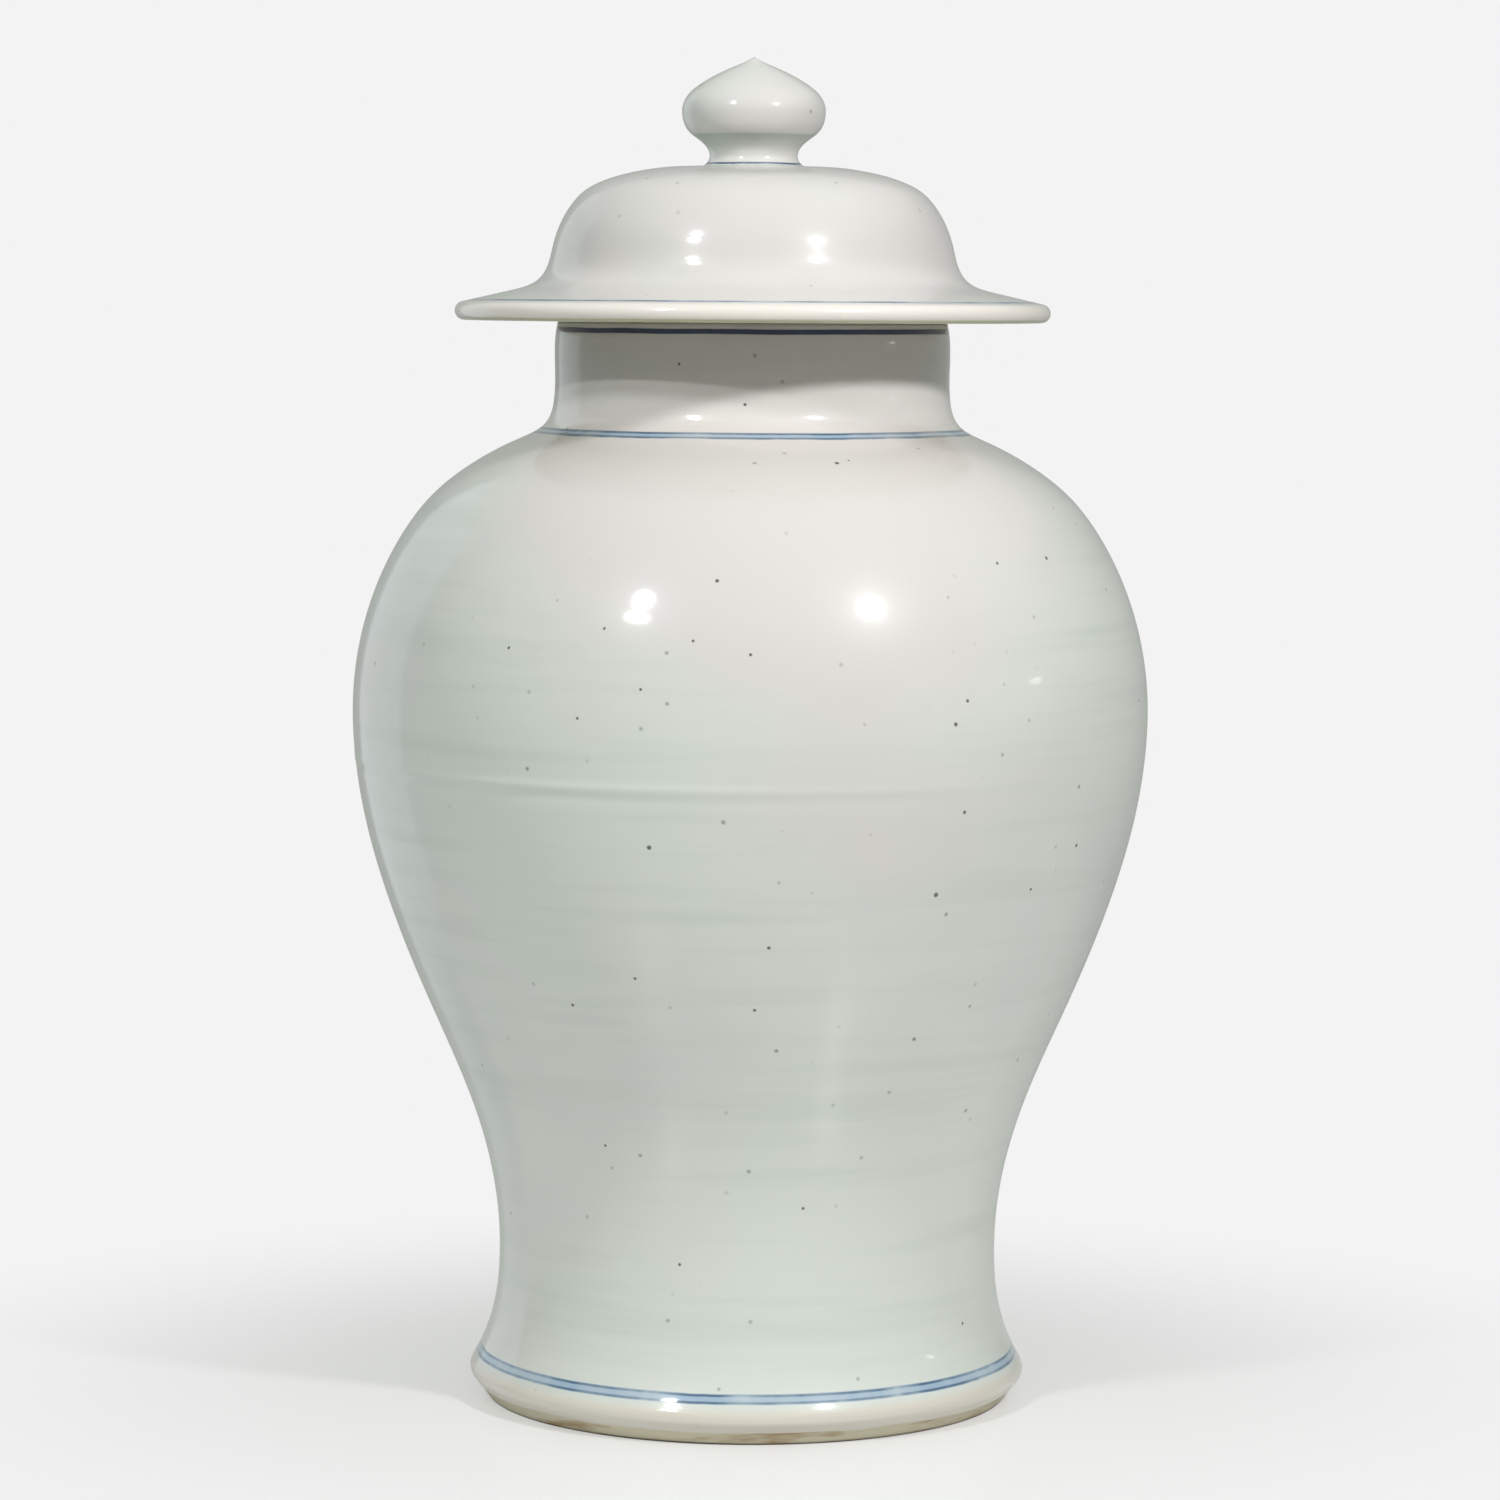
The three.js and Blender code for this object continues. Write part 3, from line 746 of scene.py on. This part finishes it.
# The cover's glaze drew thin and creamy over the brim's round edge, gathered in a greenish bead
# under it and ran together under the knob's bud, where a darker band with a crisp top edge also
# paints the bud's shadow. One line is painted round the brim and one round the foot of the knob.
def cover_glaze():
    found = bpy.data.materials.get("cover_glaze")
    if found:
        return found
    glaze = bpy.context.scene.potiche_glaze
    material, tree, place, height = new_material("cover_glaze")
    base = glaze_body(tree, place)
    low = ends_of("cover_dome")[0]
    thin = band(tree, height, low, 2 * glaze.brim_cream, glaze.cream_fade)
    bead = band(tree, height, low + glaze.bead_width / 2, glaze.bead_width, glaze.bead_width)
    # Painted shadow under the knob's bud: the darker band's crisp top edge stands for where the
    # bud's shadow starts.
    top = glaze.bud_shade_top
    bud_shade_fading = {"Value": height, "From Min": top - glaze.bud_shade_fall, "From Max": top}
    bud_shade_fading = add_node(tree, "ShaderNodeMapRange", bud_shade_fading)
    under = {"Value": height, "From Min": top + glaze.bud_shade_edge, "From Max": top}
    under = add_node(tree, "ShaderNodeMapRange", under)
    run = add_node(tree, "ShaderNodeMath", {0: bud_shade_fading, 1: under}, operation="MULTIPLY")
    for cover, coat in ((thin, glaze.cream), (bead, glaze.celadon), (run, glaze.deep_glaze_shade)):
        laid = {MIX_SHARE: cover, MIX_FROM: base, MIX_TO: coat}
        base = add_node(tree, "ShaderNodeMix", laid, MIXED, data_type="RGBA")
    level = add_node(tree, "ShaderNodeVectorMath", {0: place, 1: (1, 1, 0)}, operation="MULTIPLY")
    radius = add_node(tree, "ShaderNodeVectorMath", {0: level}, "Value", operation="LENGTH")
    above = kept_where(tree, radius, place, (0, 0, 1))
    base = painted_line(tree, base, place, above, "brim")
    base = painted_line(tree, base, place, height, "knob")
    return glazed(material, tree, place, base)


# Bare porcelain fired without glaze: dense, matt and slightly sandy, with ochre patches where
# the kiln drew iron to the surface, and darker towards the bottom of the edge that it stands on.
def bare_biscuit():
    found = bpy.data.materials.get("bare_biscuit")
    if found:
        return found
    biscuit = bpy.context.scene.potiche_biscuit
    material, tree, place, height = new_material("bare_biscuit")
    patches = wheel_noise(tree, place, biscuit.patch_size, biscuit.patch_height)
    start, full = OCHRE_SHARES
    rusty = {"Value": patches, "From Min": start, "From Max": full, "To Max": OCHRE_SHARE}
    rusty = add_node(tree, "ShaderNodeMapRange", rusty)
    # Darker towards the bottom of the edge that the foot stands on.
    ground = {"Value": height, "From Min": biscuit.bottom_dark_height, "From Max": 0.0}
    darkened_bottom = add_node(tree, "ShaderNodeMapRange", {**ground, "To Max": BOTTOM_DARK_SHARE})
    base = biscuit.clay
    for cover, stain in ((rusty, biscuit.ochre), (darkened_bottom, biscuit.bottom_dark)):
        stained = {MIX_SHARE: cover, MIX_FROM: base, MIX_TO: stain}
        base = add_node(tree, "ShaderNodeMix", stained, MIXED, data_type="RGBA")
    sand = {"Vector": place, "Scale": 1 / biscuit.grain_size, "Detail": GRAIN}
    grain = add_node(tree, "ShaderNodeTexNoise", sand)
    rough = {"Height": grain, "Strength": GRAIN_SHARE, "Distance": biscuit.grain_depth}
    bump = add_node(tree, "ShaderNodeBump", rough)
    look = {"Base Color": base, "Roughness": biscuit.roughness, "IOR": CLAY_IOR, "Normal": bump}
    surface = add_node(tree, "ShaderNodeBsdfPrincipled", look)
    add_node(tree, "ShaderNodeOutputMaterial", {"Surface": surface})
    return material


def leave_bare(mesh, is_bare):
    """Gives the second material to the faces that the glaze doesn't cover."""
    for face in mesh.faces:
        face.material_index = int(is_bare(face.calc_center_median(), face.normal))


def swell(outline):
    """Thickens the glaze a little where it gathered above its edge."""
    shape = bpy.context.scene.potiche_shape
    return [
        (
            radius + shape.glaze_roll
            * math.exp(-((height - shape.roll_height) / shape.roll_width) ** 2),
            height,
        )
        for radius, height in outline
    ]


def foot_outline(line, low, high):
    """The foot's outside, sunk below the glaze's edge by the thickness of the glaze."""
    shape = bpy.context.scene.potiche_shape
    depth = shape.glaze_depth
    ledge = (shape.glaze_edge - depth, shape.glaze_edge + depth)
    heights = {height for radius, height in stretch(line, low, high, shape.seam_hold)}
    return swell([
        (radius_at(line, height) - depth * float(np.interp(height, ledge, (1, 0))), height)
        for height in sorted(heights.union(ledge))
    ])


def stray_glaze_edge(ring, line):
    """Lets the glaze's edge run up and down, as it does where a finger wiped the foot."""
    shape = bpy.context.scene.potiche_shape
    for vertex in ring.verts:
        level = from_axis(vertex.co)
        nearness = 1 - abs(vertex.co.z - shape.glaze_edge) / shape.wander_reach
        if nearness <= 0 or level.length < line[0][0] - shape.worn_edge:
            continue
        wave = noise.noise(level / shape.wander_length) * nearness
        height = vertex.co.z + shape.glaze_wander * wave
        grown = radius_at(line, height) - radius_at(line, vertex.co.z)
        vertex.co = level * (1 + grown / level.length) + Vector((0, 0, height))


class POTICHE_OT_foot(bpy.types.Operator):
    """Adds the bare foot ring and the base that closes the jar above it"""

    bl_idname = "potiche.foot"
    bl_label = "Foot ring and base"

    def execute(self, context):
        shape = context.scene.potiche_shape
        line = jar_line()
        low, high = ends_of("foot_ring")
        inner = line[0][0] - shape.foot_width
        outside = foot_outline(line, low, high)
        bevelled = inner - shape.foot_bevel
        inside = [(bevelled, high), (bevelled, shape.foot_bevel), (inner, 0)]
        ring = spin_profile(outside + inside)
        leave_bare(ring, lambda place, normal: place.z < shape.glaze_edge)
        stray_glaze_edge(ring, line)
        round_rings(ring, shape.worn_edge, [outside[0], inside[-1]])
        materials = [jar_glaze(), bare_biscuit()]
        add_piece("foot_ring_dressed", "foot_ring", ring, "jar", materials)

        low, high = ends_of("base")
        outside = swell(stretch(line, low, high, shape.seam_hold))
        base = spin_profile([(0, low), *outside, (0, high)])
        press_by_hand(base)
        add_piece("base_dressed", "base", base, "jar", [jar_glaze()])
        return {"FINISHED"}


def finer_near(line, middle):
    """The line with more points about the luting trace, which needs them."""
    shape = bpy.context.scene.potiche_shape
    reach = LUTING_REACH_SHARE * shape.luting_width
    away = line[abs(line[:, 1] - middle) > reach]
    steps = math.ceil(2 * reach / shape.luting_step)
    heights = np.linspace(middle - reach, middle + reach, steps + 1)
    near = [(radius_at(line, height), height) for height in heights]
    return np.array(sorted([*map(tuple, away), *near], key=lambda point: point[1]))


def lute(mesh):
    """Leaves the trace of the joint between two thrown sections: a low ridge over a hollow."""
    shape = bpy.context.scene.potiche_shape
    strongest = facing(shape.luting_bearing, 0.0)
    for vertex in mesh.verts:
        outwards = from_axis(vertex.co).normalized()
        across = (vertex.co.z - shape.luting_height) / shape.luting_width
        strength = ((1 + outwards.dot(strongest)) / 2) ** shape.luting_focus
        ridge = math.exp(-across ** 2)
        hollow = HOLLOW_DEPTH_SHARE * math.exp(-(across + HOLLOW_DROP_SHARE) ** 2)
        vertex.co += outwards * shape.luting_depth * strength * (ridge - hollow)


class POTICHE_OT_body(bpy.types.Operator):
    """Adds the lower and the upper section of the body"""

    bl_idname = "potiche.body"
    bl_label = "Body sections"

    def execute(self, context):
        shape = context.scene.potiche_shape
        line = jar_line()
        inner = inset_line(line, shape.jar_wall)
        outer = finer_near(line, shape.luting_height)
        for node in ("lower_body", "upper_body"):
            low, high = ends_of(node)
            outside = stretch(outer, low, high, shape.seam_hold)
            inside = stretch(inner, low, high, shape.seam_hold)
            section = spin_profile(outside + inside[::-1])
            press_by_hand(section)
            lute(section)
            add_piece(f"{node}_dressed", node, section, "jar", [jar_glaze()])
        return {"FINISHED"}


class POTICHE_OT_neck(bpy.types.Operator):
    """Adds the neck with its rounded lip, whose flat top is left bare"""

    bl_idname = "potiche.neck"
    bl_label = "Neck and lip"

    def execute(self, context):
        shape = context.scene.potiche_shape
        line = jar_line()
        low, high = ends_of("neck")
        edge = high - shape.lip_round
        outside = stretch(line, low, edge, shape.seam_hold)
        inside = stretch(inset_line(line, shape.jar_wall), low, edge, shape.seam_hold)
        outer = (outside[-1][0] - shape.lip_round, edge)
        inner = (inside[-1][0] + shape.lip_round, edge)
        lip = rounded(outer, shape.lip_round, 0, 90, shape.edge_segments)[1:]
        lip += rounded(inner, shape.lip_round, 90, 180, shape.edge_segments)[:-1]
        neck = spin_profile(outside + lip + inside[::-1])
        press_by_hand(neck)
        leave_bare(neck, lambda place, normal: normal.z > LEVEL_SHARE and place.z > edge)
        materials = [jar_glaze(), bare_biscuit()]
        add_piece("neck_dressed", "neck", neck, "jar", materials)
        return {"FINISHED"}


class POTICHE_OT_cover_dome(bpy.types.Operator):
    """Adds the domed cover with its brim"""

    bl_idname = "potiche.cover_dome"
    bl_label = "Cover"

    def execute(self, context):
        shape = context.scene.potiche_shape
        line = cover_line()
        low, high = ends_of("cover_dome")
        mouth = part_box("cover_collar")[1].x - shape.collar_wall
        centre = (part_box("cover_dome")[1].x - shape.brim_round, low + shape.brim_round)
        slope = math.degrees(shape.brim_slope)
        edge = rounded(centre, shape.brim_round, -90, 90 - slope, 2 * shape.edge_segments)
        brim_end = edge[-1][0] - MERGE
        dome = [tuple(point) for point in line if point[1] < high - MERGE and point[0] < brim_end]
        hollow = inset_line(line[line[:, 1] < high + MERGE], shape.cover_wall)
        top = float(hollow[:, 1].max())
        flange = low + shape.flange
        inside = stretch(hollow, flange, top - shape.seam_hold, shape.seam_hold)
        shelf = [(mouth, flange), (mouth, low)]
        crown = [(radius_at(line, high), high), (0, high)]
        cover = spin_profile([(0, top), *inside[::-1], *shelf, *edge, *dome, *crown])
        press_by_hand(cover)
        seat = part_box("neck")[1].x + shape.lip_round

        def rests(place, normal):
            return normal.z < -LEVEL_SHARE and from_axis(place).length < seat

        leave_bare(cover, rests)
        materials = [cover_glaze(), bare_biscuit()]
        add_piece("cover_dome_dressed", "cover_dome", cover, "cover", materials)
        return {"FINISHED"}


class POTICHE_OT_cover_collar(bpy.types.Operator):
    """Adds the bare collar that drops into the mouth"""

    bl_idname = "potiche.cover_collar"
    bl_label = "Collar"

    def execute(self, context):
        shape = context.scene.potiche_shape
        low, high = ends_of("cover_collar")
        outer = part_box("cover_collar")[1].x
        inner = outer - shape.collar_wall
        collar = spin_profile([(outer, low), (outer, high), (inner, high), (inner, low)])
        round_rings(collar, shape.collar_round, [(outer, low), (inner, low)])
        materials = [bare_biscuit()]
        add_piece("cover_collar_dressed", "cover_collar", collar, "cover", materials)
        return {"FINISHED"}


class POTICHE_OT_cover_knob(bpy.types.Operator):
    """Adds the bud knob on the crown"""

    bl_idname = "potiche.cover_knob"
    bl_label = "Knob"

    def execute(self, context):
        shape = context.scene.potiche_shape
        line = cover_line()
        low, high = ends_of("cover_knob")
        outside = [tuple(point) for point in line if low + MERGE < point[1] < high - MERGE]
        knob = spin_profile([(0, low), (radius_at(line, low), low), *outside, (0, high)])
        press_by_hand(knob)
        add_piece("cover_knob_dressed", "cover_knob", knob, "cover", [cover_glaze()])
        return {"FINISHED"}


def facing(azimuth, elevation):
    """The direction from the jar to a place round it: azimuth 0 is the camera's side."""
    level = Vector((math.sin(azimuth), -math.cos(azimuth), 0)) * math.cos(elevation)
    return level + Vector((0, 0, math.sin(elevation)))


def add_lamp(name, side, width, height, drop=0.0, part=1.0):
    """A lamp that faces the middle of the jar from one side of it, or hangs under another."""
    studio = bpy.context.scene.potiche_studio
    distance = getattr(studio, f"{side}_distance")
    elevation = getattr(studio, f"{side}_elevation") - drop
    way = facing(getattr(studio, f"{side}_azimuth"), elevation)
    data = bpy.data.lights.new(name, "AREA")
    data.shape = "ELLIPSE"
    data.size = 2 * distance * math.tan(width / 2)
    data.size_y = 2 * distance * math.tan(height / 2)
    data.energy = part * getattr(studio, f"{side}_lamp") * math.pi * distance ** 2
    data.color = getattr(studio, f"{side}_lamp_colour")[:3]
    lamp = bpy.data.objects.new(name, data)
    lamp.location = CAD_BOX[1].z / 2 * Vector((0, 0, 1)) + distance * way
    lamp.rotation_mode = "QUATERNION"
    lamp.rotation_quaternion = way.to_track_quat("Z", "Y")
    bpy.context.scene.collection.objects.link(lamp)


def seen_directly(tree):
    """1 for rays from the camera and for what a clear piece would show behind it."""
    camera = add_node(tree, "ShaderNodeLightPath", out="Is Camera Ray")
    clear = camera.node.outputs["Is Transmission Ray"]
    return add_node(tree, "ShaderNodeMath", {0: camera, 1: clear}, operation="MAXIMUM")


# Matt white paper, slightly calendered, so that the lamps leave a soft sheen on it. The camera
# sees most of it as an even tone; light that reaches past the table's end is lost in the room.
def floor_paper():
    studio = bpy.context.scene.potiche_studio
    material, tree, place, _ = new_material("floor_paper")
    away = add_node(tree, "ShaderNodeVectorMath", {0: place}, "Value", operation="LENGTH")
    reach = {"From Min": studio.table_reach, "From Max": studio.table_end}
    beyond = add_node(tree, "ShaderNodeMapRange", {"Value": away, **reach})
    tone = {MIX_SHARE: beyond, MIX_FROM: studio.floor_tone, MIX_TO: studio.far_floor}
    tone = add_node(tree, "ShaderNodeMix", tone, MIXED, data_type="RGBA")
    seen = seen_directly(tree)
    glossy = add_node(tree, "ShaderNodeLightPath", out="Is Glossy Ray")
    near = add_node(tree, "ShaderNodeMath", {0: seen, 1: glossy}, operation="MAXIMUM")
    tone = {MIX_SHARE: near, MIX_FROM: tone, MIX_TO: studio.seen_tone}
    tone = add_node(tree, "ShaderNodeMix", tone, MIXED, data_type="RGBA")
    look = {"Base Color": tone, "Roughness": studio.floor_gloss, "IOR": PAPER_IOR}
    shaded = add_node(tree, "ShaderNodeBsdfPrincipled", look)
    even = add_node(tree, "ShaderNodeEmission", {"Color": studio.paper, "Strength": 1.0})
    fade = {"From Min": studio.shadow_start, "From Max": studio.shadow_reach}
    fade.update({"Value": away, "To Min": studio.shadow_share, "To Max": 0.0})
    kept = add_node(tree, "ShaderNodeMapRange", fade, interpolation_type="SMOOTHSTEP")
    shares = {0: seen, 2: 1.0, 3: kept}
    shade = add_node(tree, "ShaderNodeMix", shares, data_type="FLOAT")
    mixed = add_node(tree, "ShaderNodeMixShader", {0: shade, 1: even, 2: shaded})
    ends = {"From Min": studio.table_start, "From Max": studio.table_end}
    past = add_node(tree, "ShaderNodeMapRange", {"Value": away, **ends})
    past = add_node(tree, "ShaderNodeMath", {0: glossy, 1: past}, operation="MULTIPLY")
    clear = add_node(tree, "ShaderNodeBsdfTransparent")
    mixed = add_node(tree, "ShaderNodeMixShader", {0: past, 1: mixed, 2: clear})
    add_node(tree, "ShaderNodeOutputMaterial", {"Surface": mixed})
    return material


def add_floor():
    mesh = bmesh.new()
    reach = bpy.context.scene.potiche_studio.floor_reach
    bmesh.ops.create_grid(mesh, x_segments=1, y_segments=1, size=reach)
    data = bpy.data.meshes.new("floor")
    mesh.to_mesh(data)
    mesh.free()
    data.materials.append(floor_paper())
    floor = bpy.data.objects.new("floor", data)
    bpy.context.scene.collection.objects.link(floor)


def studio_world():
    """The backdrop as the camera sees it, the fill light, and what the gloss mirrors."""
    studio = bpy.context.scene.potiche_studio
    world = bpy.data.worlds.new("studio")
    world.use_nodes = True
    tree = world.node_tree
    tree.nodes.clear()
    way = add_node(tree, "ShaderNodeTexCoord", out="Generated")
    side = add_node(tree, "ShaderNodeSeparateXYZ", {0: way}, out="X")
    depth, rise = (side.node.outputs[name] for name in ("Y", "Z"))
    ahead = add_node(tree, "ShaderNodeMath", {0: depth, 1: -1.0}, operation="MULTIPLY")
    azimuth = add_node(tree, "ShaderNodeMath", {0: side, 1: ahead}, operation="ARCTAN2")
    panel = band(tree, azimuth, studio.panel_azimuth, studio.panel_width, studio.panel_edge)
    tall = band(tree, rise, studio.panel_middle, studio.panel_height, studio.panel_edge)
    panel = add_node(tree, "ShaderNodeMath", {0: panel, 1: tall}, operation="MULTIPLY")
    mirrored = {MIX_SHARE: panel, MIX_FROM: studio.room, MIX_TO: studio.panel}
    mirrored = add_node(tree, "ShaderNodeMix", mirrored, MIXED, data_type="RGBA")
    high = {"Value": rise, "From Min": studio.fill_low, "From Max": studio.fill_high}
    overhead = add_node(tree, "ShaderNodeMapRange", high)
    mirrored = {MIX_SHARE: overhead, MIX_FROM: mirrored, MIX_TO: studio.ceiling}
    mirrored = add_node(tree, "ShaderNodeMix", mirrored, MIXED, data_type="RGBA")
    strengths = {"To Min": studio.round_fill, "To Max": studio.round_fill + studio.top_fill}
    strength = add_node(tree, "ShaderNodeMapRange", {**high, **strengths})
    fill = {"Color": studio.fill_colour, "Strength": strength}
    fill = add_node(tree, "ShaderNodeBackground", fill)
    mirror = add_node(tree, "ShaderNodeBackground", {"Color": mirrored, "Strength": 1.0})
    paper = add_node(tree, "ShaderNodeBackground", {"Color": studio.paper, "Strength": 1.0})
    glossy = add_node(tree, "ShaderNodeLightPath", out="Is Glossy Ray")
    lit = add_node(tree, "ShaderNodeMixShader", {0: glossy, 1: fill, 2: mirror})
    shown = add_node(tree, "ShaderNodeMixShader", {0: seen_directly(tree), 1: lit, 2: paper})
    add_node(tree, "ShaderNodeOutputWorld", {"Surface": shown})
    bpy.context.scene.world = world


def add_camera():
    studio = bpy.context.scene.potiche_studio
    data = bpy.data.cameras.new("camera")
    data.lens = studio.camera_lens
    camera = bpy.data.objects.new("camera", data)
    camera.location = (0, -studio.camera_distance, studio.camera_height)
    tilt = Euler((math.pi / 2 - studio.camera_pitch, 0, 0)).to_matrix()
    lean = Matrix.Rotation(studio.camera_roll, 3, "Z")
    camera.rotation_euler = (tilt @ lean).to_euler()
    bpy.context.scene.collection.objects.link(camera)
    bpy.context.scene.camera = camera


class POTICHE_OT_stage(bpy.types.Operator):
    """Adds the floor, the backdrop, the lamps and the camera"""

    bl_idname = "potiche.stage"
    bl_label = "Studio"

    def execute(self, context):
        studio = context.scene.potiche_studio
        add_floor()
        studio_world()
        wide = studio.lamp_width
        strip = (studio.low_width, studio.low_height, studio.low_drop, studio.low_share)
        add_lamp("left_lamp", "left", wide, wide)
        add_lamp("left_strip", "left", *strip)
        add_lamp("right_lamp", "right", wide, wide)
        add_lamp("side_lamp", "side", studio.side_lamp_width, studio.low_height)
        add_camera()
        context.scene.view_settings.view_transform = "Standard"
        return {"FINISHED"}


OPERATORS = (
    POTICHE_OT_foot,
    POTICHE_OT_body,
    POTICHE_OT_neck,
    POTICHE_OT_cover_dome,
    POTICHE_OT_cover_collar,
    POTICHE_OT_cover_knob,
    POTICHE_OT_stage,
)
GROUPS = {
    "potiche_shape": PotterySizes,
    "potiche_glaze": GlazeLook,
    "potiche_biscuit": BiscuitLook,
    "potiche_studio": StudioLook,
}


class POTICHE_PT_panel(bpy.types.Panel):
    bl_idname = "POTICHE_PT_panel"
    bl_label = "Potiche"
    bl_space_type = "VIEW_3D"
    bl_region_type = "UI"
    bl_category = "Potiche"

    def draw(self, context):
        for operator in OPERATORS:
            self.layout.operator(operator.bl_idname)
        for group, kind in GROUPS.items():
            box = self.layout.box()
            for name in kind.__annotations__:
                box.prop(getattr(context.scene, group), name)


CLASSES = (*GROUPS.values(), *OPERATORS, POTICHE_PT_panel)


def register():
    for kind in CLASSES:
        bpy.utils.register_class(kind)
    for group, kind in GROUPS.items():
        setattr(bpy.types.Scene, group, PointerProperty(type=kind))


def unregister():
    for group in GROUPS:
        delattr(bpy.types.Scene, group)
    for kind in reversed(CLASSES):
        bpy.utils.unregister_class(kind)


def main():
    register()
    bpy.ops.potiche.foot()
    bpy.ops.potiche.body()
    bpy.ops.potiche.neck()
    bpy.ops.potiche.cover_dome()
    bpy.ops.potiche.cover_collar()
    bpy.ops.potiche.cover_knob()
    bpy.ops.potiche.stage()


if __name__ == "__main__":
    main()
